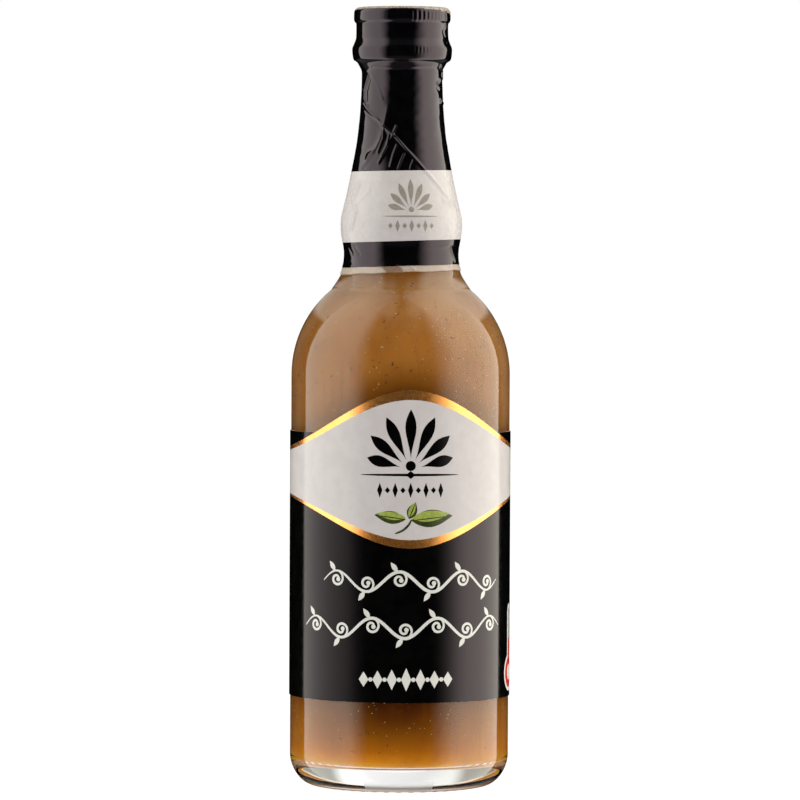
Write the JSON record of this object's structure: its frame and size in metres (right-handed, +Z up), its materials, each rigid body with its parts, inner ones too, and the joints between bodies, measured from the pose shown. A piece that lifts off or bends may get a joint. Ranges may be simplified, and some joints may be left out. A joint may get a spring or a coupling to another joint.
{
  "type": "hot sauce bottle",
  "caption": "Small clear glass sauce bottle with a bulbous neck, filled, with a roll-on cap, a shrink sleeve over cap and neck, and a wrap label with a raised middle.",
  "frame": {"origin": "middle of the foot, on the surface the bottle stands on", "axes": "+Z up along the bottle's axis, -Y towards the front of the label, +X to the viewer's right"},
  "size_m": [0.0424, 0.0423, 0.1495],
  "materials": {
    "clear_glass": "clear polished flint glass",
    "sauce": "thick opaque golden brown liquid with fine dark and yellow specks",
    "black_cap": "black lacquered aluminium",
    "black_film": "glossy shrunk film, black with one white band and a clear hem",
    "black_label": "glossy black with a white panel edged in gold foil"
  },
  "bodies": {
    "root": {"glass_bottle": "clear_glass", "sauce": "sauce", "screw_cap": "black_cap", "shrink_sleeve": "black_film", "body_label": "black_label"}
  },
  "joints": []
}
